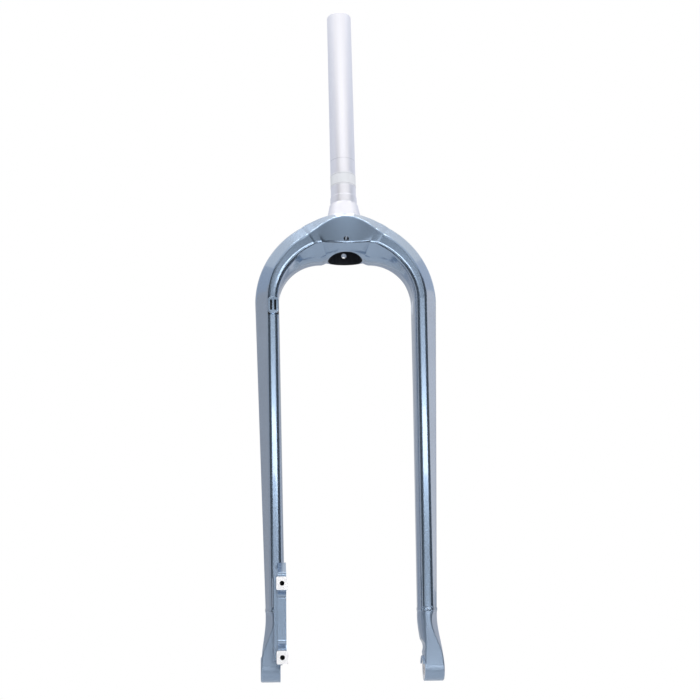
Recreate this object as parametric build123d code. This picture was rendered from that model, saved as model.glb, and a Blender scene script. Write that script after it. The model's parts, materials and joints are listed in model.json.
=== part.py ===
from build123d import *
import os
from math import atan2, cos, degrees, hypot, pi, radians, sin
from typing import NamedTuple

# Rigid aluminium fork for a wide-tyred bicycle, welded up from forgings and bent tubes.
# The origin is the middle of the crown race shoulder, on the steerer axis.
# +Z runs up the steerer, +Y is the way the bicycle travels, +X is the rider's right.

# Overall sizes
AXLE_TO_CROWN = 508.0  # race shoulder to axle, measured along the steerer
RAKE = 52.0  # axle ahead of the steerer axis
HUB_WIDTH = 150.0  # between the two hub seats
LEG_GAP_TOP = 148.6  # between the legs just under the shoulders
STEERER_LENGTH = 250.0  # above the race shoulder

# Steerer: a straight tube on a base with the race seat, a neck and a spigot pressed into the crown
STEERER_OD = 28.6
STEERER_WALL = 3.2
STEERER_CHAMFER = 0.7
RACE_SEAT_STEP = 0.7  # of the race seat over the tube
RACE_SEAT_HEIGHT = 9.5
RACE_SHOULDER = 1.2  # width of the shoulder under the race
NECK_HEIGHT = 19.0
NECK_CHAMFER = 0.5
NECK_SEAT = 1.0  # width of the neck's foot around the spigot
SPIGOT_OD = 38.0  # also the bore of the crown
SPIGOT_LENGTH = 25.0
SPIGOT_WALL = 3.5

# Crown forging
CROWN_DROP = 35.0  # race shoulder down to the crown's own middle
CROWN_HEIGHT = 51.0
CROWN_END_HEIGHT = 47.0
CROWN_DIP = 2.5  # of its back below the shoulders' arc
CROWN_END_DIP = 1.5  # of its ends below that arc
CROWN_DEPTH = 59.0
CROWN_END_DEPTH = 54.4
CROWN_SEAT_SINK = 2.0  # how far the neck's seat is cut into the crown's back
CROWN_HALF_ANGLE = 23.0  # of the arch, from the middle to the weld
CROWN_HOLE = 6.0
CROWN_HOLE_DROP = 53.0  # race shoulder down to the mudguard hole
NECK_SEAT_CLEARANCE = 0.4

# Legs: bent tubes with a round-nosed, flat-flanked section
LEG_WIDTH_START = 46.3  # at the crown weld
LEG_WIDTH_TOP = 26.5  # under the shoulder
LEG_WIDTH_END = 20.3
LEG_DEPTH_START = 52.8
LEG_START_DIP = 2.0  # of the bend's upper end below the shoulders' arc
LEG_DEPTH_TOP = 46.0
LEG_DEPTH_END = 29.0
LEG_WALL = 2.4
NOSE_WIDTH = 11.6
NOSE_OUTER_RADIUS = 6.0
NOSE_INNER_RADIUS = 7.0
NOSE_SETBACK_TOP = 1.0  # from the leg's inner flank to its nose
NOSE_SETBACK_END = 3.3
LEG_SET_IN = 4.9  # leg end's inner flank, inboard of the hub seat

# Butt welds
CROWN_WELD_ANGLE = 7.0
DROPOUT_WELD_LENGTH = 5.0
CROWN_BEAD_HEIGHT = 0.3
DROPOUT_BEAD_HEIGHT = 0.4

# Dropouts
DROPOUT_REACH = 58.0  # axle up to the dropout's top face
DROPOUT_COLLAR = 43.0  # axle up to where the flare starts
DROPOUT_FLARE = 25.5  # axle up to where the flare has most of its width
DROPOUT_THICKNESS = 19.4
DROPOUT_BOSS_HEIGHT = 1.1  # round boss on the outer face
DROPOUT_END_RADIUS = 13.0
DROPOUT_SIDE_STEP = 0.4  # sides of the dropout inside its round end
DROPOUT_EDGE = 1.6
AXLE_BORE = 15.1
LEDGE_WIDTH = 2.0
LEDGE_HEIGHT = 2.0
LEDGE_RISE = 4.5  # axle up to the ends of the ledge
SCOOP_RADIUS = 10.0
SCOOP_RISE = 9.0  # round end up to the scoop's middle
SCOOP_DEPTH = 1.0  # of the scoop outboard of the hub seat

# Brake mount on the left leg
POST_SPACING = 74.2
POST_RISE = 12.5  # axle up to the lower post, along the leg
POST_SETBACK = 42.0  # axle back to the post faces
POST_SET_IN = 1.7  # middle of the posts, inboard of the hub seat
POST_WIDTH = 11.9
POST_HEIGHT = 13.4
POST_CORNER = 1.5
POST_STAND = 4.0  # of the post faces behind the web
POST_LIP = 1.0
POST_HOLE = 5.0  # tapping hole of an M6 thread
POST_HOLE_DEPTH = 16.0
WEB_THICKNESS = 8.8
WEB_SETBACK = 30.0  # axle back to the bare web between the posts
WEB_CURVE = 6.0
FLANGE_WIDTH = 12.6
FLANGE_SETBACK = 21.0
MOUNT_RAMP = 16.0  # height of the ramp from the upper post up to the leg
MOUNT_TIP = 4.5  # depth of the ramp's upper end
MOUNT_BITE = 0.6  # how far the bracket reaches in front of the dropout's rear side
FILLET_BEAD = 2.2  # radius of the weld beads along the flange

# Hose guide on the left leg
GUIDE_DROP = 124.0  # race shoulder down to the guide's middle
GUIDE_WIDTH = 12.0
GUIDE_HEIGHT = 18.7
GUIDE_CORNER = 5.0
GUIDE_STAND = 4.2  # how far it stands off the leg's nose
GUIDE_WRAP = 3.5  # how far it reaches round the nose
GUIDE_SLOT_WIDTH = 2.4
GUIDE_SLOT_HEIGHT = 12.0
GUIDE_RIB = 2.1
GUIDE_EDGE = 0.8

# The crown and legs lie in one plane through the crown's middle and the axle. The pieces
# below are drawn upright in that plane and swung forward together at the end.
blade_length = hypot(RAKE, AXLE_TO_CROWN - CROWN_DROP)
blade_tilt = degrees(atan2(RAKE, AXLE_TO_CROWN - CROWN_DROP))
blade_place = Location((0, 0, -CROWN_DROP), (blade_tilt, 0, 0))
hub_seat = HUB_WIDTH / 2
shoulder_radius = LEG_GAP_TOP / 2 + LEG_WIDTH_TOP
tube_radius = STEERER_OD / 2
tube_bore = tube_radius - STEERER_WALL
seat_radius = tube_radius + RACE_SEAT_STEP
steerer_seam = RACE_SEAT_HEIGHT + RACE_SEAT_STEP
spigot_radius = SPIGOT_OD / 2
neck_foot = spigot_radius + NECK_SEAT
crown_back = CROWN_DROP - NECK_HEIGHT + CROWN_SEAT_SINK
arch_drop = shoulder_radius - CROWN_DIP - crown_back
dropout_top = -blade_length + DROPOUT_REACH
leg_end = dropout_top + DROPOUT_WELD_LENGTH
post_x = -(hub_seat - POST_SET_IN)
post_heights = (POST_RISE - blade_length, POST_RISE + POST_SPACING - blade_length)
post_plane = Plane(origin=(post_x, -POST_SETBACK, 0), x_dir=(1, 0, 0), z_dir=(0, 1, 0))
dropout_half = DROPOUT_END_RADIUS - DROPOUT_SIDE_STEP
mount_root = -dropout_half + MOUNT_BITE


class Section(NamedTuple):
    """Cross-section of the arch or a leg: widths measured inwards from its outer side."""

    outer: float  # outer side, from the arch's centre or the middle of the fork
    width: float  # outer side to inner side
    ridge_drop: float  # outer side to the edge of the rear and front faces
    face_width: float  # of the rear and front faces
    half_depth: float
    outer_half: float  # half the flat of the outer side
    inner_half: float
    outer_radius: float
    ridge_radius: float
    low_radius: float
    inner_radius: float


def between(first, second, share):
    return Section(*(a + (b - a) * share for a, b in zip(first, second)))


def outline(section):
    """Corners of a section with their radii, from the inner side round the rear to the front."""
    s = section
    ridge = s.outer - s.ridge_drop
    rear = [
        (s.outer - s.width, -s.inner_half, s.inner_radius),
        (ridge - s.face_width, -s.half_depth, s.low_radius),
        (ridge, -s.half_depth, s.ridge_radius),
        (s.outer, -s.outer_half, s.outer_radius),
    ]
    front = [(x, -y, radius) for x, y, radius in reversed(rear)]
    return rear + front


def moved_sides(corners, distance):
    """The corners of a convex outline whose sides are all moved outwards by a distance."""
    points = [Vector(x, y) for x, y, _ in corners]
    count = len(points)
    moved = []
    for i, (_, _, radius) in enumerate(corners):
        before = (points[i] - points[i - 1]).normalized()
        after = (points[(i + 1) % count] - points[i]).normalized()
        out_before = Vector(before.Y, -before.X)
        out_after = Vector(after.Y, -after.X)
        corner = points[i] + (out_before + out_after) * (distance / (1 + out_before.dot(out_after)))
        moved.append((corner.X, corner.Y, radius + distance))
    return moved


def rounded_face(corners):
    points = [(x, y) for x, y, _ in corners]
    radii = [radius for _, _, radius in corners]
    return make_face(FilletPolyline(*points, radius=radii, close=True))


def section_face(plane, section, grown=0.0):
    return plane * rounded_face(moved_sides(outline(section), grown))


def arch_plane(angle):
    """Plane across the arch, at an angle from the crown's middle towards the rider's right."""
    turn = radians(angle)
    return Plane(
        origin=(0, 0, -arch_drop),
        x_dir=(sin(turn), 0, cos(turn)),
        z_dir=(cos(turn), 0, -sin(turn)),
    )


def leg_plane(height):
    return Plane(origin=(0, 0, height), x_dir=(1, 0, 0), z_dir=(0, 0, -1))


# Sections of the arch, from the crown's middle to the foot of the leg
crown_mid = Section(
    outer=shoulder_radius - CROWN_DIP,
    width=CROWN_HEIGHT,
    ridge_drop=8.3,
    face_width=31.8,
    half_depth=CROWN_DEPTH / 2,
    outer_half=19.0,
    inner_half=17.0,
    outer_radius=8.0,
    ridge_radius=3.0,
    low_radius=4.0,
    inner_radius=36.0,
)
crown_end = Section(
    outer=shoulder_radius - CROWN_END_DIP,
    width=CROWN_END_HEIGHT,
    ridge_drop=14.3,
    face_width=16.5,
    half_depth=CROWN_END_DEPTH / 2,
    outer_half=11.0,
    inner_half=12.0,
    outer_radius=8.0,
    ridge_radius=3.0,
    low_radius=4.5,
    inner_radius=20.0,
)
leg_start = Section(
    outer=shoulder_radius - LEG_START_DIP,
    width=LEG_WIDTH_START,
    ridge_drop=15.7,
    face_width=11.5,
    half_depth=LEG_DEPTH_START / 2,
    outer_half=9.5,
    inner_half=12.0,
    outer_radius=8.0,
    ridge_radius=3.5,
    low_radius=5.0,
    inner_radius=20.0,
)
leg_top = Section(
    outer=shoulder_radius,
    width=LEG_WIDTH_TOP,
    ridge_drop=LEG_WIDTH_TOP - NOSE_SETBACK_TOP - NOSE_WIDTH,
    face_width=NOSE_WIDTH,
    half_depth=LEG_DEPTH_TOP / 2,
    outer_half=4.5,
    inner_half=8.0,
    outer_radius=9.0,
    ridge_radius=NOSE_OUTER_RADIUS,
    low_radius=NOSE_INNER_RADIUS,
    inner_radius=20.0,
)
leg_foot = Section(
    outer=hub_seat - LEG_SET_IN + LEG_WIDTH_END,
    width=LEG_WIDTH_END,
    ridge_drop=LEG_WIDTH_END - NOSE_SETBACK_END - NOSE_WIDTH,
    face_width=NOSE_WIDTH,
    half_depth=LEG_DEPTH_END / 2,
    outer_half=4.0,
    inner_half=5.0,
    outer_radius=6.0,
    ridge_radius=NOSE_OUTER_RADIUS,
    low_radius=NOSE_INNER_RADIUS,
    inner_radius=8.0,
)
dropout_end = Section(
    outer=hub_seat + DROPOUT_THICKNESS,
    width=DROPOUT_THICKNESS,
    ridge_drop=1.2,
    face_width=DROPOUT_THICKNESS - 2.0,
    half_depth=dropout_half,
    outer_half=DROPOUT_END_RADIUS - 2.5,
    inner_half=DROPOUT_END_RADIUS - 2.5,
    outer_radius=1.5,
    ridge_radius=1.5,
    low_radius=1.0,
    inner_radius=1.5,
)
dropout_collar = between(leg_foot, dropout_end, 0.08)._replace(
    ridge_drop=7.4, face_width=9.4, ridge_radius=2.5
)
dropout_flare = between(leg_foot, dropout_end, 0.66)._replace(
    ridge_drop=3.3, face_width=14.0, ridge_radius=1.5
)


def make_steerer_tube():
    profile = Polyline(
        (tube_bore, steerer_seam),
        (tube_radius, steerer_seam),
        (tube_radius, STEERER_LENGTH - STEERER_CHAMFER),
        (tube_radius - STEERER_CHAMFER, STEERER_LENGTH),
        (tube_bore, STEERER_LENGTH),
        close=True,
    )
    return revolve(Plane.XZ * make_face(profile), Axis.Z)


def make_steerer_base():
    """Turned foot of the steerer: race seat, shoulder, cone-shaped neck and spigot."""
    shoulder = seat_radius + RACE_SHOULDER
    spigot_bore = spigot_radius - SPIGOT_WALL
    spigot_end = -NECK_HEIGHT - SPIGOT_LENGTH
    profile = Polyline(
        (tube_radius, steerer_seam),
        (seat_radius, RACE_SEAT_HEIGHT),
        (seat_radius, 0),
        (shoulder - NECK_CHAMFER, 0),
        (shoulder, -NECK_CHAMFER),
        (neck_foot, -NECK_HEIGHT),
        (spigot_radius, -NECK_HEIGHT),
        (spigot_radius, spigot_end),
        (spigot_bore, spigot_end),
        (spigot_bore, -NECK_HEIGHT),
        (tube_bore, steerer_seam),
        close=True,
    )
    return revolve(Plane.XZ * make_face(profile), Axis.Z)


def make_crown():
    """Forged crown: an arched bridge, bored for the steerer and drilled fore and aft.

    Its middle stands square to the steerer; its ends lean forward with the legs.
    """
    middle = Pos(0, 0, -CROWN_DROP) * section_face(arch_plane(0), crown_mid)
    right = blade_place * section_face(arch_plane(CROWN_HALF_ANGLE), crown_end)
    left = blade_place * section_face(arch_plane(-CROWN_HALF_ANGLE), crown_end)
    crown = loft([left, middle, right])
    upwards = (Align.CENTER, Align.CENTER, Align.MIN)
    crown -= Pos(0, 0, -NECK_HEIGHT) * Cylinder(neck_foot + NECK_SEAT_CLEARANCE, NECK_HEIGHT, align=upwards)
    crown -= Pos(0, 0, -CROWN_DROP) * Cylinder(spigot_radius, 2 * CROWN_HEIGHT)
    crown -= Pos(0, 0, -CROWN_HOLE_DROP) * Rot(90, 0, 0) * Cylinder(CROWN_HOLE / 2, 2 * CROWN_DEPTH)
    return crown


def crown_weld_solid(swell):
    start = CROWN_HALF_ANGLE
    middle = start + CROWN_WELD_ANGLE / 2
    end = start + CROWN_WELD_ANGLE
    return loft(
        [
            section_face(arch_plane(start), crown_end),
            section_face(arch_plane(middle), between(crown_end, leg_start, 0.5), swell),
            section_face(arch_plane(end), leg_start),
        ]
    )


def crown_weld_core():
    return loft(
        [
            section_face(arch_plane(CROWN_HALF_ANGLE), crown_end, -LEG_WALL),
            section_face(arch_plane(CROWN_HALF_ANGLE + CROWN_WELD_ANGLE), leg_start, -LEG_WALL),
        ],
        ruled=True,
    )


def leg_solid(grown=0.0):
    """Right leg: bent over the shoulder, then drawn down straight to a slimmer foot."""
    start_angle = CROWN_HALF_ANGLE + CROWN_WELD_ANGLE
    bend_steps = 6
    bend = []
    for step in range(bend_steps + 1):
        share = step / bend_steps
        angle = start_angle + (90 - start_angle) * share
        section = between(leg_start, leg_top, sin(share * pi / 2))
        bend.append(section_face(arch_plane(angle), section, grown))
    straight = [
        section_face(leg_plane(-arch_drop), leg_top, grown),
        section_face(leg_plane(leg_end), leg_foot, grown),
    ]
    return loft(bend) + loft(straight, ruled=True)


def dropout_weld_solid(swell):
    return loft(
        [
            section_face(leg_plane(leg_end), leg_foot),
            section_face(leg_plane((leg_end + dropout_top) / 2), leg_foot, swell),
            section_face(leg_plane(dropout_top), leg_foot),
        ]
    )


def dropout_weld_core():
    return extrude(section_face(leg_plane(leg_end), leg_foot, -LEG_WALL), DROPOUT_WELD_LENGTH)


def make_dropout():
    """Forged right dropout: it flares outwards from the leg to a round end for the axle."""
    body = loft(
        [
            section_face(leg_plane(dropout_top), leg_foot),
            section_face(leg_plane(DROPOUT_COLLAR - blade_length), dropout_collar),
            section_face(leg_plane(DROPOUT_FLARE - blade_length), dropout_flare),
            section_face(leg_plane(-blade_length), dropout_end),
        ]
    )
    seat_place = Pos(hub_seat, 0, -blade_length)
    along_axle = Rot(0, 90, 0)
    outwards = (Align.CENTER, Align.CENTER, Align.MIN)
    inwards = (Align.CENTER, Align.CENTER, Align.MAX)
    round_end = Cylinder(DROPOUT_END_RADIUS, DROPOUT_THICKNESS + DROPOUT_BOSS_HEIGHT, align=outwards)
    body += seat_place * along_axle * fillet(round_end.edges().group_by(Axis.Z)[-1], DROPOUT_EDGE)
    scoop = Rot(90, 0, 0) * Cylinder(SCOOP_RADIUS, 3 * DROPOUT_END_RADIUS)
    body -= seat_place * Pos(SCOOP_DEPTH - SCOOP_RADIUS, 0, DROPOUT_END_RADIUS + SCOOP_RISE) * scoop

    # The hub's end cap drops into a curved ledge above the machined seat.
    cap_radius = DROPOUT_END_RADIUS - LEDGE_WIDTH
    body -= seat_place * along_axle * Cylinder(cap_radius, LEG_SET_IN, align=inwards)
    ledge = Cylinder(DROPOUT_END_RADIUS, LEDGE_HEIGHT, align=inwards)
    ledge -= Cylinder(cap_radius, LEDGE_HEIGHT, align=inwards)
    above_axle = Pos(0, 0, LEDGE_RISE) * Box(
        2 * LEDGE_HEIGHT,
        2 * DROPOUT_END_RADIUS,
        DROPOUT_END_RADIUS,
        align=(Align.CENTER, Align.CENTER, Align.MIN),
    )
    body += seat_place * (along_axle * ledge & above_axle)
    body -= seat_place * along_axle * Cylinder(AXLE_BORE / 2, 3 * DROPOUT_THICKNESS)
    return body


def brake_mount_blank():
    """Bracket before it is cut and drilled: flange, web and two posts, reaching into the left leg."""
    lower = post_heights[0]
    upper = post_heights[1]
    half_post = POST_HEIGHT / 2
    top = upper + half_post + MOUNT_RAMP
    post_root = -POST_SETBACK + POST_STAND
    web_outline = FilletPolyline(
        (mount_root, top),
        (mount_root - MOUNT_TIP, top),
        (post_root, upper + half_post + POST_STAND),
        (post_root, upper - half_post - POST_LIP),
        (-WEB_SETBACK, upper - half_post - POST_STAND),
        (-WEB_SETBACK, lower + half_post + 2 * POST_STAND),
        (post_root, lower + half_post + POST_STAND / 2),
        (post_root, lower - half_post),
        (mount_root, lower - half_post),
        radius=[1.0, 3.0, 3.0, 1.0, WEB_CURVE, WEB_CURVE, 1.0, 1.0, 1.0],
        close=True,
    )
    side_plane = Plane(origin=(post_x, 0, 0), x_dir=(0, 1, 0), z_dir=(1, 0, 0))
    mount = extrude(side_plane * make_face(web_outline), WEB_THICKNESS / 2, both=True)
    for height in post_heights:
        post = post_plane * Pos(0, -height) * RectangleRounded(POST_WIDTH, POST_HEIGHT, POST_CORNER)
        mount += extrude(post, POST_HOLE_DEPTH)
    flange = Box(
        FLANGE_WIDTH,
        mount_root + FLANGE_SETBACK,
        top - lower - POST_STAND,
        align=(Align.MAX, Align.MAX, Align.MIN),
    )
    return mount + Pos(post_x + WEB_THICKNESS / 2, mount_root, lower - half_post + POST_STAND) * flange


def make_brake_mount(blank, seats):
    """Bracket cut to the pieces it sits on, with the posts drilled for tapping."""
    mount = blank
    for seat in seats:
        mount -= seat
    for height in post_heights:
        hole = post_plane * Pos(0, -height) * Circle(POST_HOLE / 2)
        mount -= extrude(hole, POST_HOLE_DEPTH)
    return mount


def cut_bead(bead, neighbours):
    """Bead without its neighbours, cut by one after another, or by all together where that leaves nothing."""
    cut = bead
    for neighbour in neighbours:
        cut -= neighbour
        if not cut.solids():
            return bead - neighbours
    return cut


def make_brake_mount_welds(neighbours):
    """Two beads in the corners between the flange and the left leg."""
    length = post_heights[1] + POST_HEIGHT / 2 - leg_end
    inner_edge = post_x + WEB_THICKNESS / 2
    beads = []
    for x, y in (
        (inner_edge - FLANGE_WIDTH, -LEG_DEPTH_END / 2),
        (-(hub_seat - LEG_SET_IN + NOSE_SETBACK_END / 2), mount_root),
    ):
        bead = Pos(x, y, leg_end) * Cylinder(
            FILLET_BEAD, length, align=(Align.CENTER, Align.CENTER, Align.MIN)
        )
        beads.append(cut_bead(bead, neighbours))
    return beads


def make_hose_guide(seat):
    """Saddle with two slots on the rear nose of the left leg."""
    nose_rear = -LEG_DEPTH_TOP / 2
    middle_x = -(LEG_GAP_TOP / 2 + NOSE_SETBACK_TOP + NOSE_WIDTH / 2)
    plane = Plane(
        origin=(middle_x, nose_rear - GUIDE_STAND, CROWN_DROP - GUIDE_DROP),
        x_dir=(1, 0, 0),
        z_dir=(0, 1, 0),
    )
    block = extrude(
        plane * RectangleRounded(GUIDE_WIDTH, GUIDE_HEIGHT, GUIDE_CORNER), GUIDE_STAND + GUIDE_WRAP
    )
    block = fillet(block.edges().group_by(Axis.Y)[0], GUIDE_EDGE)
    offset = (GUIDE_RIB + GUIDE_SLOT_WIDTH) / 2
    for x in (-offset, offset):
        slot = plane * Pos(x, 0) * Rot(0, 0, 90) * SlotOverall(GUIDE_SLOT_HEIGHT, GUIDE_SLOT_WIDTH)
        block -= extrude(slot, GUIDE_STAND + GUIDE_WRAP)
    return block - seat


leg_filled = leg_solid()
dropout_weld_filled = dropout_weld_solid(DROPOUT_BEAD_HEIGHT)
right_side = {
    "crown_weld": crown_weld_solid(CROWN_BEAD_HEIGHT) - crown_weld_core(),
    "leg": leg_filled - leg_solid(-LEG_WALL),
    "dropout_weld": dropout_weld_filled - dropout_weld_core(),
    "dropout": make_dropout(),
}
left_side = {name: mirror(shape, about=Plane.YZ) for name, shape in right_side.items()}
left_leg_filled = mirror(leg_filled, about=Plane.YZ)
left_weld_filled = mirror(dropout_weld_filled, about=Plane.YZ)
seats = [left_leg_filled, left_weld_filled, left_side["dropout"]]
mount_blank = brake_mount_blank()

parts = {
    "steerer_tube": make_steerer_tube(),
    "steerer_base": make_steerer_base(),
    "crown": make_crown(),
}
for name, shape in right_side.items():
    parts["right_" + name] = blade_place * shape
for name, shape in left_side.items():
    parts["left_" + name] = blade_place * shape
parts["brake_mount"] = blade_place * make_brake_mount(mount_blank, seats)
parts["brake_mount_welds"] = blade_place * Compound(children=make_brake_mount_welds([mount_blank] + seats))
parts["hose_guide"] = blade_place * make_hose_guide(left_leg_filled)

os.makedirs("parts", exist_ok=True)
for name, shape in parts.items():
    export_step(shape, f"parts/{name}.step")
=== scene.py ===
import json
import math

import bmesh
import bpy
from mathutils import Matrix, Vector


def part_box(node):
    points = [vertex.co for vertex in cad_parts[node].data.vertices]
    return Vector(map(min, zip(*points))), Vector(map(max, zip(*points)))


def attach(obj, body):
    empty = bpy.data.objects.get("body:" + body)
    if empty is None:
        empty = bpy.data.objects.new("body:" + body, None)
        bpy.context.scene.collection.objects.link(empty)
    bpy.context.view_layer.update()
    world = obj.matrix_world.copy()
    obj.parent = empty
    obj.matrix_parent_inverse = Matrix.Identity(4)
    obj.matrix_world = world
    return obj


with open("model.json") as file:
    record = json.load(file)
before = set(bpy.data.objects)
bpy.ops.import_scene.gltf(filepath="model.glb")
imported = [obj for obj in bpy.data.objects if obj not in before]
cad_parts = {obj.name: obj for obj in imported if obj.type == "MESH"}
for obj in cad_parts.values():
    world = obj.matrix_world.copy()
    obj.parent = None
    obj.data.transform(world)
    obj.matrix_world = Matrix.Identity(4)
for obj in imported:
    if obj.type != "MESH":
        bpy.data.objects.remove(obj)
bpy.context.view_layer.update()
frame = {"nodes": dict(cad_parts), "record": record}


# Crown. An arched aluminium forging that joins the two legs and holds the steerer, sprayed
# with blue-grey metallic paint under clear lacquer. Its bore is painted near black as painted shade.
def add_node(tree, kind, place, values=None, **settings):
    """New node at a place in the tree, with its settings and socket values."""
    made = tree.nodes.new(kind)
    made.location = place
    for name, value in settings.items():
        setattr(made, name, value)
    for socket, value in (values or {}).items():
        made.inputs[socket].default_value = value
    return made


def wire(tree, source, output, target, socket):
    """Link from one node's output to another node's socket."""
    tree.links.new(source.outputs[output], target.inputs[socket])


def feed(tree, source, socket):
    """Gives a socket a plain value, or a link from another node's output."""
    if isinstance(source, bpy.types.NodeSocket):
        tree.links.new(source, socket)
    else:
        socket.default_value = source


def lay_over(tree, place, kind, mask, under, over):
    """Mix of two numbers or colours, values or outputs, where the second shows as far as the mask does."""
    mix = add_node(tree, "ShaderNodeMix", place, data_type=kind)
    first, result = {"FLOAT": (2, 0), "RGBA": (6, 2)}[kind]
    feed(tree, mask, mix.inputs[0])
    feed(tree, under, mix.inputs[first])
    feed(tree, over, mix.inputs[first + 1])
    return mix.outputs[result]


def new_effect(name, inputs, outputs):
    """Empty shader node group with named inputs and outputs."""
    tree = bpy.data.node_groups.new(name, "ShaderNodeTree")
    for label, kind, value in inputs:
        tree.interface.new_socket(label, in_out="INPUT", socket_type=kind).default_value = value
    for label, kind in outputs:
        tree.interface.new_socket(label, in_out="OUTPUT", socket_type=kind)
    return tree, add_node(tree, "NodeGroupInput", (-900, 0)), add_node(tree, "NodeGroupOutput", (900, 0))


def place_effect(tree, effect, place, values=None):
    """One use of a node group in a material, with its own values."""
    return add_node(tree, "ShaderNodeGroup", place, values, node_tree=effect)


def new_material(name):
    """New material with its node tree and its shader."""
    material = bpy.data.materials.new(name)
    material.use_nodes = True
    return material, material.node_tree, material.node_tree.nodes["Principled BSDF"]


# Metal flakes and a slow drift of tone in the colour coat, and the lacquer's faint orange peel
flake_paint, ins, outs = new_effect(
    "flake paint",
    [
        ("Colour", "NodeSocketColor", (0.275, 0.375, 0.515, 1)),
        ("Deep colour", "NodeSocketColor", (0.24, 0.33, 0.46, 1)),
        ("Roughness", "NodeSocketFloat", 0.2),
    ],
    [("Color", "NodeSocketColor"), ("Roughness", "NodeSocketFloat"), ("Height", "NodeSocketFloat")],
)
spot = add_node(flake_paint, "ShaderNodeTexCoord", (-900, -300))
drift = add_node(flake_paint, "ShaderNodeTexNoise", (-650, 250), {"Scale": 14.0, "Detail": 3.0})
flakes = add_node(flake_paint, "ShaderNodeTexVoronoi", (-650, -50), {"Scale": 2200.0})
peel = add_node(flake_paint, "ShaderNodeTexNoise", (-650, -350), {"Scale": 420.0, "Detail": 1.0})
for texture in (drift, flakes, peel):
    wire(flake_paint, spot, "Object", texture, "Vector")
flake_tone = add_node(flake_paint, "ShaderNodeSeparateColor", (-400, -50))
wire(flake_paint, flakes, "Color", flake_tone, "Color")
flake_depth = add_node(flake_paint, "ShaderNodeMath", (-200, 150), {1: 0.45}, operation="MULTIPLY")
wire(flake_paint, flake_tone, "Red", flake_depth, 0)
drift_depth = add_node(
    flake_paint, "ShaderNodeMapRange", (-400, 300), {"From Min": 0.35, "From Max": 0.65, "To Max": 0.55}
)
wire(flake_paint, drift, "Fac", drift_depth, "Value")
depth = add_node(flake_paint, "ShaderNodeMath", (0, 200), operation="ADD", use_clamp=True)
wire(flake_paint, drift_depth, "Result", depth, 0)
wire(flake_paint, flake_depth, 0, depth, 1)
coat_colour = lay_over(
    flake_paint, (250, 200), "RGBA", depth.outputs[0], ins.outputs["Colour"], ins.outputs["Deep colour"]
)
feed(flake_paint, coat_colour, outs.inputs["Color"])
rough_shift = add_node(
    flake_paint,
    "ShaderNodeMapRange",
    (-400, 0),
    {"From Min": 0.3, "From Max": 0.7, "To Min": -0.03, "To Max": 0.03},
)
wire(flake_paint, drift, "Fac", rough_shift, "Value")
rough_sum = add_node(flake_paint, "ShaderNodeMath", (250, 0), operation="ADD")
wire(flake_paint, rough_shift, "Result", rough_sum, 0)
wire(flake_paint, ins, "Roughness", rough_sum, 1)
wire(flake_paint, rough_sum, 0, outs, "Roughness")
wire(flake_paint, peel, "Fac", outs, "Height")

# A round machined spot, or a spot of painted shade: everything near an axis, between two depths along it
round_spot, ins, outs = new_effect(
    "round spot",
    [
        ("Centre", "NodeSocketVector", (0, 0, 0)),
        ("Axis", "NodeSocketVector", (0, 0, 1)),
        ("Radius", "NodeSocketFloat", 0.01),
        ("From", "NodeSocketFloat", -0.001),
        ("To", "NodeSocketFloat", 0.001),
    ],
    [("Mask", "NodeSocketFloat"), ("Distance", "NodeSocketFloat")],
)
spot = add_node(round_spot, "ShaderNodeTexCoord", (-900, -300))
away = add_node(round_spot, "ShaderNodeVectorMath", (-700, -100), operation="SUBTRACT")
wire(round_spot, spot, "Object", away, 0)
wire(round_spot, ins, "Centre", away, 1)
along = add_node(round_spot, "ShaderNodeVectorMath", (-500, 100), operation="DOT_PRODUCT")
wire(round_spot, away, "Vector", along, 0)
wire(round_spot, ins, "Axis", along, 1)
foot = add_node(round_spot, "ShaderNodeVectorMath", (-300, 0), operation="SCALE")
wire(round_spot, ins, "Axis", foot, 0)
wire(round_spot, along, "Value", foot, "Scale")
across = add_node(round_spot, "ShaderNodeVectorMath", (-100, -100), operation="DISTANCE")
wire(round_spot, away, "Vector", across, 0)
wire(round_spot, foot, "Vector", across, 1)
inside = add_node(round_spot, "ShaderNodeMath", (100, -100), operation="LESS_THAN")
wire(round_spot, across, "Value", inside, 0)
wire(round_spot, ins, "Radius", inside, 1)
above = add_node(round_spot, "ShaderNodeMath", (100, 100), operation="GREATER_THAN")
wire(round_spot, along, "Value", above, 0)
wire(round_spot, ins, "From", above, 1)
below = add_node(round_spot, "ShaderNodeMath", (100, 300), operation="LESS_THAN")
wire(round_spot, along, "Value", below, 0)
wire(round_spot, ins, "To", below, 1)
between = add_node(round_spot, "ShaderNodeMath", (300, 200), operation="MULTIPLY")
wire(round_spot, above, 0, between, 0)
wire(round_spot, below, 0, between, 1)
whole = add_node(round_spot, "ShaderNodeMath", (500, 50), operation="MULTIPLY")
wire(round_spot, between, 0, whole, 0)
wire(round_spot, inside, 0, whole, 1)
wire(round_spot, whole, 0, outs, "Mask")
wire(round_spot, across, "Value", outs, "Distance")

# Fine lines that a tool or a drawing die leaves across bare metal, at one coordinate
tool_lines, ins, outs = new_effect(
    "tool lines",
    [("Coordinate", "NodeSocketFloat", 0.0), ("Lines", "NodeSocketFloat", 2500.0)],
    [("Shade", "NodeSocketFloat")],
)
lines = add_node(
    tool_lines, "ShaderNodeTexNoise", (-200, 0), {"Detail": 4.0, "Roughness": 0.7}, noise_dimensions="1D"
)
wire(tool_lines, ins, "Coordinate", lines, "W")
wire(tool_lines, ins, "Lines", lines, "Scale")
wire(tool_lines, lines, "Fac", outs, "Shade")

paint_metallic = 0.85
lacquer_weight = 1.0
lacquer_index = 1.6
gloss_roughness, satin_roughness = 0.2, 0.42
gloss_lacquer, satin_lacquer = 0.035, 0.3
bare_colour, bare_metallic, bare_lines = (0.9, 0.9, 0.92, 1), 0.6, 3000.0
# Painted shade: a near-black, matte, unlacquered colour that stands in for the shade inside bores, holes and
# slots
painted_shade_colour, painted_shade_metallic, painted_shade_roughness = (0.019, 0.023, 0.032, 1), 0.0, 0.55


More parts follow.
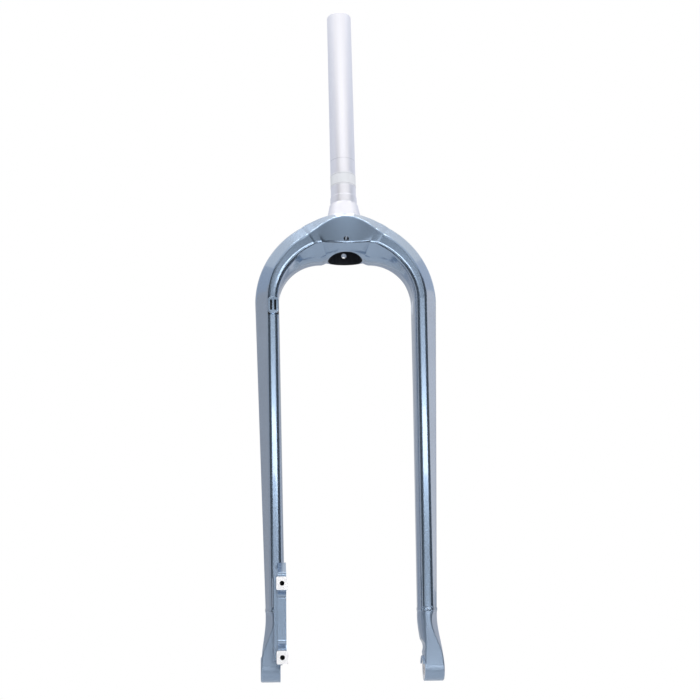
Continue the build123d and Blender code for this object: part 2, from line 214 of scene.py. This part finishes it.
def machined_roughness(tree, mark, height):
    """Roughness of a machined spot, with tool lines around its middle."""
    cut = place_effect(tree, tool_lines, (-600, height), {"Lines": bare_lines})
    wire(tree, mark, "Distance", cut, "Coordinate")
    shade = add_node(
        tree,
        "ShaderNodeMapRange",
        (-300, height),
        {"From Min": 0.3, "From Max": 0.7, "To Min": 0.24, "To Max": 0.4},
    )
    wire(tree, cut, "Shade", shade, "Value")
    return shade.outputs["Result"]


def bead_ripple(tree, scale, paint_bump):
    """Ripple of a weld bead under the paint's own bump."""
    place = add_node(tree, "ShaderNodeTexCoord", (-900, -600))
    waves = add_node(
        tree,
        "ShaderNodeTexWave",
        (-600, -600),
        {"Scale": scale, "Distortion": 2.5, "Detail": 2.0},
        bands_direction="DIAGONAL",
    )
    wire(tree, place, "Object", waves, "Vector")
    bead = add_node(tree, "ShaderNodeBump", (500, -600), {"Strength": 0.6, "Distance": 0.0004})
    wire(tree, waves, "Fac", bead, "Height")
    wire(tree, paint_bump, "Normal", bead, "Normal")
    return bead


def painted(name, bare_spots=(), shade_spots=(), ripple=None, satin=False):
    """Paint and lacquer, with bare machined spots, painted shade in bores and hollows, or a weld's ripple
    where a piece has them.
    """
    material, tree, shader = new_material(name)
    shader.inputs["Coat Roughness"].default_value = satin_lacquer if satin else gloss_lacquer
    shader.inputs["Coat IOR"].default_value = lacquer_index
    roughness = satin_roughness if satin else gloss_roughness
    coat = place_effect(tree, flake_paint, (-1200, 200), {"Roughness": roughness})
    bump = add_node(tree, "ShaderNodeBump", (-300, -400), {"Strength": 0.2, "Distance": 0.00002})
    wire(tree, coat, "Height", bump, "Height")
    if ripple:
        bump = bead_ripple(tree, ripple, bump)
    colour, rough = coat.outputs["Color"], coat.outputs["Roughness"]
    metallic, lacquer = paint_metallic, lacquer_weight
    for step, values in enumerate((*shade_spots, *bare_spots)):
        top = -300 * step
        mark = place_effect(tree, round_spot, (-1500, top - 200), values)
        mask = mark.outputs["Mask"]
        # The first spots take painted shade, the rest take bare machined metal
        if step < len(shade_spots):
            look = painted_shade_colour, painted_shade_roughness, painted_shade_metallic
        else:
            look = bare_colour, machined_roughness(tree, mark, top - 500), bare_metallic
        colour = lay_over(tree, (-600, top + 300), "RGBA", mask, colour, look[0])
        rough = lay_over(tree, (-600, top + 100), "FLOAT", mask, rough, look[1])
        metallic = lay_over(tree, (-300, top + 300), "FLOAT", mask, metallic, look[2])
        lacquer = lay_over(tree, (-300, top + 100), "FLOAT", mask, lacquer, 0.0)
    feed(tree, colour, shader.inputs["Base Color"])
    feed(tree, rough, shader.inputs["Roughness"])
    feed(tree, metallic, shader.inputs["Metallic"])
    feed(tree, lacquer, shader.inputs["Coat Weight"])
    wire(tree, bump, "Normal", shader, "Normal")
    return material


def dress(material, *names):
    """The CAD nodes of these names take this material."""
    for name in names:
        for place in frame["nodes"][name].material_slots:
            place.material = material


# Painted shade inside the crown's bore: a near-black colour where shade falls
crown_bore_shade = {"Centre": (0, 0, -0.045), "Axis": (0, 0, 1), "Radius": 0.0193, "From": -0.04, "To": 0.04}
dress(painted("crown paint", shade_spots=[crown_bore_shade]), "crown")


# Steerer. One turned and drawn aluminium piece, left bare: a straight tube above the bearing
# race's seat, and below it a cone-shaped neck and the spigot that is pressed into the crown.
ring_height, ring_half_width = 0.0555, 0.0002
ring_colour = (0.55, 0.56, 0.62, 1)
dull_metal, bright_metal = (0.80, 0.80, 0.86, 1), (0.93, 0.93, 0.98, 1)
# Painted shade: a grey that stands in for the shade inside the steerer's bore
painted_bore_shade = (0.22, 0.22, 0.24, 1)
steerer_bore = {"Centre": (0, 0, 0), "Axis": (0, 0, 1), "Radius": 0.0113, "From": -0.06, "To": 0.249}


def bare_tube(name, lines, drawn):
    """Bare metal with a scribed ring, painted shade in the bore, and lines along a drawn tube or round a
    turned one.
    """
    material, tree, shader = new_material(name)
    place = add_node(tree, "ShaderNodeTexCoord", (-1800, 0))
    parts = add_node(tree, "ShaderNodeSeparateXYZ", (-1600, 0))
    wire(tree, place, "Object", parts, "Vector")
    grain = place_effect(tree, tool_lines, (-1200, 0), {"Lines": lines})
    if drawn:
        turn = add_node(tree, "ShaderNodeMath", (-1400, 0), operation="ARCTAN2")
        wire(tree, parts, "Y", turn, 0)
        wire(tree, parts, "X", turn, 1)
        wire(tree, turn, 0, grain, "Coordinate")
    else:
        wire(tree, parts, "Z", grain, "Coordinate")
    satin = add_node(
        tree,
        "ShaderNodeMapRange",
        (-800, -100),
        {"From Min": 0.3, "From Max": 0.7, "To Min": 0.3, "To Max": 0.42},
    )
    wire(tree, grain, "Shade", satin, "Value")
    ring = add_node(
        tree, "ShaderNodeMath", (-1200, 300), {1: ring_height, 2: ring_half_width}, operation="COMPARE"
    )
    wire(tree, parts, "Z", ring, 0)
    bore = place_effect(tree, round_spot, (-1200, -300), steerer_bore)
    colour = lay_over(tree, (-800, 200), "RGBA", grain.outputs["Shade"], dull_metal, bright_metal)
    colour = lay_over(tree, (-600, 200), "RGBA", ring.outputs[0], colour, ring_colour)
    # The bore's inside takes painted shade
    colour = lay_over(tree, (-400, 200), "RGBA", bore.outputs["Mask"], colour, painted_bore_shade)
    bump = add_node(tree, "ShaderNodeBump", (-300, -300), {"Strength": 0.4, "Distance": 0.00003})
    wire(tree, grain, "Shade", bump, "Height")
    shader.inputs["Metallic"].default_value = 1.0
    feed(tree, colour, shader.inputs["Base Color"])
    wire(tree, satin, "Result", shader, "Roughness")
    wire(tree, bump, "Normal", shader, "Normal")
    return material


dress(bare_tube("drawn aluminium", 24.0, drawn=True), "steerer_tube")
dress(bare_tube("turned aluminium", 1800.0, drawn=False), "steerer_base")


# Blank label. A plain white plastic film wrapped round the steerer above the race seat, with a
# thin grey border line. It is stuck on, and its two ends meet at the front.
mounts = {mount["name"]: mount for mount in frame["record"]["mounts"]}
tube_radius = mounts["steerer"]["dims"]["r_mm"] / 1000
label_foot, label_top = 0.0225, 0.0375
label_middle = (label_foot + label_top) / 2
border_inset, border_half_width = 0.0012, 0.0003
film, film_edge, film_sides = 0.0002, 0.0001, 144
front_angle, seam_angle = 90, 4
film_white, film_shade, border_grey = (0.92, 0.94, 0.98, 1), (0.87, 0.9, 0.95, 1), (0.62, 0.62, 0.68, 1)
film_profile = [
    (tube_radius, label_foot),
    (tube_radius + film, label_foot + film_edge),
    (tube_radius + film, label_top - film_edge),
    (tube_radius, label_top),
]
label_shape = bmesh.new()
label_rows = []
for step in range(film_sides + 1):
    turn = math.radians(front_angle + seam_angle / 2 + (360 - seam_angle) * step / film_sides)
    row = [label_shape.verts.new((r * math.cos(turn), r * math.sin(turn), z)) for r, z in film_profile]
    label_rows.append(row)
for row, next_row in zip(label_rows, label_rows[1:]):
    for corner in range(len(film_profile)):
        following = (corner + 1) % len(film_profile)
        label_shape.faces.new((row[corner], next_row[corner], next_row[following], row[following]))
label_shape.faces.new(label_rows[0])
label_shape.faces.new(reversed(label_rows[-1]))
bmesh.ops.recalc_face_normals(label_shape, faces=label_shape.faces)
label_mesh = bpy.data.meshes.new("steerer_label")
label_shape.to_mesh(label_mesh)
label_shape.free()
label = bpy.data.objects.new("steerer_label", label_mesh)
bpy.context.scene.collection.objects.link(label)
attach(label, "root")
label_film, tree, shader = new_material("label film")
place = add_node(tree, "ShaderNodeTexCoord", (-1000, 0))
parts = add_node(tree, "ShaderNodeSeparateXYZ", (-800, 0))
wire(tree, place, "Object", parts, "Vector")
from_middle = add_node(tree, "ShaderNodeMath", (-600, 0), {1: label_middle}, operation="SUBTRACT")
wire(tree, parts, "Z", from_middle, 0)
out_from_middle = add_node(tree, "ShaderNodeMath", (-450, 0), operation="ABSOLUTE")
wire(tree, from_middle, 0, out_from_middle, 0)
border = add_node(
    tree,
    "ShaderNodeMath",
    (-300, 0),
    {1: (label_top - label_foot) / 2 - border_inset, 2: border_half_width},
    operation="COMPARE",
)
wire(tree, out_from_middle, 0, border, 0)
cloud = add_node(tree, "ShaderNodeTexNoise", (-600, -300), {"Scale": 60.0, "Detail": 2.0})
wire(tree, place, "Object", cloud, "Vector")
white = lay_over(tree, (-300, 250), "RGBA", cloud.outputs["Fac"], film_white, film_shade)
lined = lay_over(tree, (-100, 200), "RGBA", border.outputs[0], white, border_grey)
feed(tree, lined, shader.inputs["Base Color"])
satin = add_node(tree, "ShaderNodeMapRange", (-300, -300), {"To Min": 0.28, "To Max": 0.4})
wire(tree, cloud, "Fac", satin, "Value")
wire(tree, satin, "Result", shader, "Roughness")
label_mesh.materials.append(label_film)


# Crown welds and legs. Bent and tapered aluminium tubes, butt-welded to the crown with wide
# beads that are dressed smooth before painting. The left leg has painted shade under the hose guide's slots.
dress(painted("dressed weld paint"), "left_crown_weld", "right_crown_weld")
dress(painted("leg paint"), "right_leg")
guide_low, guide_high = (Vector(corner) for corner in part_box("hose_guide"))
guide_middle = (guide_low + guide_high) / 2
guide_half_height = 0.0085
down_leg = (0, 0.109, -0.994)
# Painted shade on the left leg where the hose guide's slots sit over it
guide_slot_shade = {
    "Centre": (guide_middle.x, guide_high.y, guide_middle.z),
    "Axis": down_leg,
    "Radius": 0.0065,
    "From": -guide_half_height,
    "To": guide_half_height,
}
dress(painted("guide leg paint", shade_spots=[guide_slot_shade]), "left_leg")


# Dropouts. Forged ends with closed axle holes, welded to the legs with rippled beads. The hub
# seats and the axle holes are machined after painting and stay bare.
dress(painted("rippled weld paint", ripple=190.0), "left_dropout_weld", "right_dropout_weld")
axle = Vector(mounts["thru_axle"]["pos_m"])
hub_seat = 0.075
seat_radius = 0.0112
hole_radius = 0.0078
for side, name in ((-1, "left_dropout"), (1, "right_dropout")):
    seat = {
        "Centre": (side * hub_seat, axle.y, axle.z),
        "Axis": (-side, 0, 0),
        "Radius": seat_radius,
        "From": -0.0003,
        "To": 0.0006,
    }
    hole = {"Centre": (0, axle.y, axle.z), "Axis": (1, 0, 0), "Radius": hole_radius, "From": -0.2, "To": 0.2}
    dress(painted(name.replace("_", " ") + " paint", bare_spots=[seat, hole], satin=True), name)


# Brake mount. A bracket with two posts, fillet-welded to the left leg and dropout. The post
# faces are machined after painting and stay bare, and their tapped holes get painted shade inside.
post_faces, post_hole_shades = [], []
for name in ("brake_upper", "brake_lower"):
    face = {
        "Centre": mounts[name]["pos_m"],
        "Axis": mounts[name]["axis"],
        "Radius": 0.012,
        "From": -0.0003,
        "To": 0.001,
    }
    post_faces.append(face)
    # Painted shade inside each post's tapped hole
    post_hole_shades.append(dict(face, Radius=0.0027, From=-0.02, To=-0.0012))
dress(painted("brake mount paint", bare_spots=post_faces, shade_spots=post_hole_shades), "brake_mount")
dress(painted("fillet weld paint", ripple=260.0), "brake_mount_welds")


# Hose guide. A small block with two slots for cable ties, fixed to the rear of the left leg
# and painted with it.
dress(painted("hose guide paint"), "hose_guide")


# Studio. A plain pale floor well below the fork, which is held by its steerer, a white
# surround, two soft lamps, and bright and dark cards that only the reflections see.
floor_height, floor_half_width = -0.82, 6.0
floor_mesh = bpy.data.meshes.new("floor")
floor_shape = bmesh.new()
bmesh.ops.create_grid(floor_shape, x_segments=1, y_segments=1, size=floor_half_width)
floor_shape.to_mesh(floor_mesh)
floor_shape.free()
floor = bpy.data.objects.new("floor", floor_mesh)
floor.location.z = floor_height
bpy.context.scene.collection.objects.link(floor)
pale, tree, shader = new_material("pale floor")
shader.inputs["Base Color"].default_value = (0.86, 0.86, 0.87, 1)
shader.inputs["Roughness"].default_value = 0.7
shader.inputs["Specular IOR Level"].default_value = 0.0
floor_mesh.materials.append(pale)

plain, warm, cool = (1, 1, 1, 1), (1.0, 0.93, 0.9, 1), (0.85, 0.9, 1.0, 1)


def studio_card(name, level, near, far, tint=plain):
    """Card between two edges that only reflections see, as bright as its level."""
    mesh = bpy.data.meshes.new(name)
    count = len(near)
    mesh.from_pydata(near + far, [], [(i, i + 1, i + 1 + count, i + count) for i in range(count - 1)])
    card = bpy.data.objects.new(name, mesh)
    bpy.context.scene.collection.objects.link(card)
    card.visible_camera = False
    card.visible_diffuse = False
    card.visible_shadow = False
    card.visible_transmission = False
    face = bpy.data.materials.new(name)
    face.use_nodes = True
    face.node_tree.nodes.clear()
    glow = add_node(face.node_tree, "ShaderNodeEmission", (0, 0), {"Color": tint, "Strength": level})
    skin = add_node(face.node_tree, "ShaderNodeOutputMaterial", (200, 0))
    wire(face.node_tree, glow, "Emission", skin, "Surface")
    mesh.materials.append(face)


def upright_card(name, level, foot, top, *posts, tint=plain):
    """Standing card that runs past these points of the floor plan."""
    studio_card(name, level, [(x, y, foot) for x, y in posts], [(x, y, top) for x, y in posts], tint)


def lying_card(name, level, height, left, right, rear, front):
    """Flat card at a height."""
    near = [(left, rear, height), (right, rear, height)]
    far = [(left, front, height), (right, front, height)]
    studio_card(name, level, near, far)


# Behind the fork: the legs' bright stripes, and the tones of the crown's rear and the steerer
upright_card("camera card", 4.8, -0.36, -0.2, (-0.2, -1.6), (1.5, -1.6))
upright_card("high camera card", 1.6, -0.2, -0.1, (-0.2, -1.6), (1.5, -1.6))
upright_card("under card", 0.7, -0.8, -0.38, (-1.0, -1.7), (1.8, -1.7))
upright_card("crown card", 0.42, 0.03, 0.46, (-0.5, -1.0), (0.6, -1.0))
upright_card("steerer card", 1.5, 0.47, 0.8, (-0.5, -1.0), (0.5, -1.0))

# Beside the fork: dark cards for the lines that edge the stripes, and walls for the legs' flanks
dark_level = 0.05
upright_card("left nose card", dark_level, -0.5, 0.1, (-0.24, -1.03), (-0.55, -0.95))
upright_card("left card", dark_level, -0.8, 0.45, (-0.55, -0.95), (-0.85, -0.5))
upright_card("right card", dark_level, -0.8, 0.3, (0.62, -0.75), (0.85, 0.1))
upright_card("left wall", 0.7, -0.8, 0.3, (-0.86, -0.49), (-1.2, 1.0), tint=warm)
upright_card("right wall", 1.1, -0.8, 0.3, (0.86, 0.11), (1.2, 1.0), tint=warm)

# In front and far out: the tones of the fork's front and of the shoulders' tops
front_posts = ((-1.2, 1.0), (0, 1.7), (1.2, 1.0))
upright_card("front wall", 0.55, -0.45, 0.5, *front_posts, tint=cool)
upright_card("front foot", 0.72, -0.8, -0.45, *front_posts)
far_radius = 4
far_turns = [math.radians(angle) for angle in (-55, -90, -135, -180)]
far_left = [(far_radius * math.sin(turn), -far_radius * math.cos(turn)) for turn in far_turns]
far_right = [(-x, y) for x, y in far_left]
upright_card("far left card", 0.74, 1.2, 2.95, *far_left, tint=cool)
upright_card("far right card", 0.84, 1.2, 2.95, *far_right, tint=cool)

# Below and above: the light along the crown's lower edge, and on the shoulders and brake mount
lying_card("low strip", 6.0, -0.8, -0.05, 0.4, -1.55, -1.15)
lying_card("low card", 0.06, -0.78, -0.7, 0.7, -1.0, -0.5)
lying_card("mount strip", 7.0, 1.3, -0.3, 0.1, 0.14, 0.36)
arch_radius = 1.3
strip_half_width = 0.13
arch_turns = [math.radians(11 * step) for step in range(-3, 4)]
arch = [(arch_radius * math.sin(turn), arch_radius * math.cos(turn)) for turn in arch_turns]
studio_card(
    "overhead strip",
    8.0,
    [(x, -strip_half_width, z) for x, z in arch],
    [(x, strip_half_width, z) for x, z in arch],
)


def softbox(name, place, aim, width, height, power):
    """Area lamp at a place, turned to a point, that gives soft light but no reflection."""
    lamp = bpy.data.lights.new(name, "AREA")
    lamp.shape = "RECTANGLE"
    lamp.size = width
    lamp.size_y = height
    lamp.energy = power
    box = bpy.data.objects.new(name, lamp)
    box.location = place
    box.rotation_euler = (Vector(aim) - Vector(place)).to_track_quat("-Z", "Y").to_euler()
    box.visible_camera = False
    box.visible_glossy = False
    bpy.context.scene.collection.objects.link(box)


softbox("overhead softbox", (0.0, 0.0, 1.4), (0, 0, -0.1), 1.2, 0.6, 18.0)
softbox("camera softbox", (0.45, -2.6, 0.5), (0, 0, -0.2), 1.2, 0.8, 15.0)

# White where the camera or a reflection sees it, and dimmer as light on the fork and the floor
world = bpy.data.worlds.new("white surround")
bpy.context.scene.world = world
world.use_nodes = True
air = world.node_tree
air.nodes.clear()
rays = add_node(air, "ShaderNodeLightPath", (-600, 0))
seen = add_node(air, "ShaderNodeMath", (-400, 100), operation="MAXIMUM")
wire(air, rays, "Is Camera Ray", seen, 0)
wire(air, rays, "Is Glossy Ray", seen, 1)
seen_too = add_node(air, "ShaderNodeMath", (-200, 100), operation="MAXIMUM")
wire(air, seen, 0, seen_too, 0)
wire(air, rays, "Is Transmission Ray", seen_too, 1)
light = add_node(air, "ShaderNodeBackground", (0, -100), {"Color": plain, "Strength": 0.55})
backdrop = add_node(air, "ShaderNodeBackground", (0, -250), {"Color": plain, "Strength": 1.0})
blend = add_node(air, "ShaderNodeMixShader", (250, 0))
wire(air, seen_too, 0, blend, 0)
wire(air, light, "Background", blend, 1)
wire(air, backdrop, "Background", blend, 2)
sky = add_node(air, "ShaderNodeOutputWorld", (500, 0))
wire(air, blend, "Shader", sky, "Surface")


# Camera. It stands behind the fork and below its crown, and is tipped up, turned a little to
# the right and rolled slightly, as it was when the photograph was taken.
lens = bpy.data.cameras.new("camera")
lens.sensor_width = 36.0
lens.lens = 64.78
lens.shift_x = 0.0675
lens.dof.use_dof = False
camera = bpy.data.objects.new("camera", lens)
bpy.context.scene.collection.objects.link(camera)
camera_place = (-0.08897, -1.2983, -0.62943)
pitch, yaw, roll = (math.radians(angle) for angle in (19.36, 1.77, -0.77))
ahead = Vector((math.sin(yaw) * math.cos(pitch), math.cos(yaw) * math.cos(pitch), math.sin(pitch)))
sideways = Vector((math.cos(yaw), -math.sin(yaw), 0))
upright = sideways.cross(ahead)
right = math.cos(roll) * sideways + math.sin(roll) * upright
top = -math.sin(roll) * sideways + math.cos(roll) * upright
camera.matrix_world = Matrix.Translation(camera_place) @ Matrix((right, top, -ahead)).transposed().to_4x4()
bpy.context.scene.camera = camera
bpy.context.scene.view_settings.view_transform = "Standard"
